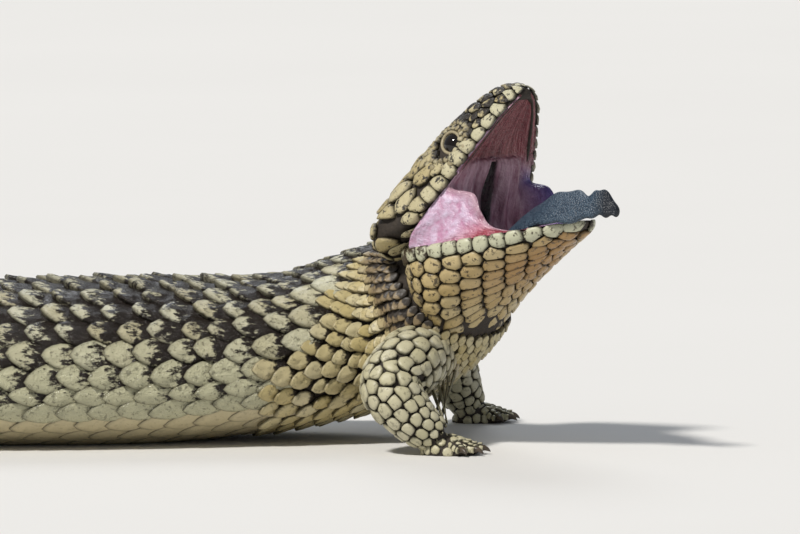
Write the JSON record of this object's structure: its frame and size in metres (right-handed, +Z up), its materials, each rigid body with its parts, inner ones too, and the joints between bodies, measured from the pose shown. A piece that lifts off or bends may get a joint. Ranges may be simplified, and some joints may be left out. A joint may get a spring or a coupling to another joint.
{
  "type": "shingleback skink model",
  "caption": "Life-size still model of a stump-tailed blue-tongued lizard in threat pose: head raised, mouth gaping, blue tongue out, pine-cone scutes, legs spread, belly on the floor.",
  "frame": {"origin": "on the floor, at the middle of the flat of the belly", "axes": "+X along the trunk towards the head, +Y to the animal's left, +Z up from the floor"},
  "size_m": [0.3454, 0.1306, 0.1041],
  "materials": {
    "back_scutes": "horny plates, dark brown-black with cream flecks, semi-gloss",
    "pale_scales": "cream-yellow shields with dark seams, satin",
    "throat_scales": "tan-ochre brick-like scales, satin",
    "leg_scales": "cream-grey rounded scales with dark gaps, satin",
    "mouth_lining": "wet pink to purple membrane",
    "tongue": "dark slate blue, finely bumpy, moist",
    "eye": "polished near-black"
  },
  "bodies": {
    "root": {"torso": "back_scutes", "tail": "back_scutes", "neck": "pale_scales", "head": "pale_scales", "jaw_lower": "throat_scales", "mouth_lining": "mouth_lining", "tongue": "tongue", "eye_right": "eye", "eye_left": "eye", "foreleg_right": "leg_scales", "foreleg_left": "leg_scales", "hindleg_right": "leg_scales", "hindleg_left": "leg_scales"}
  },
  "joints": []
}
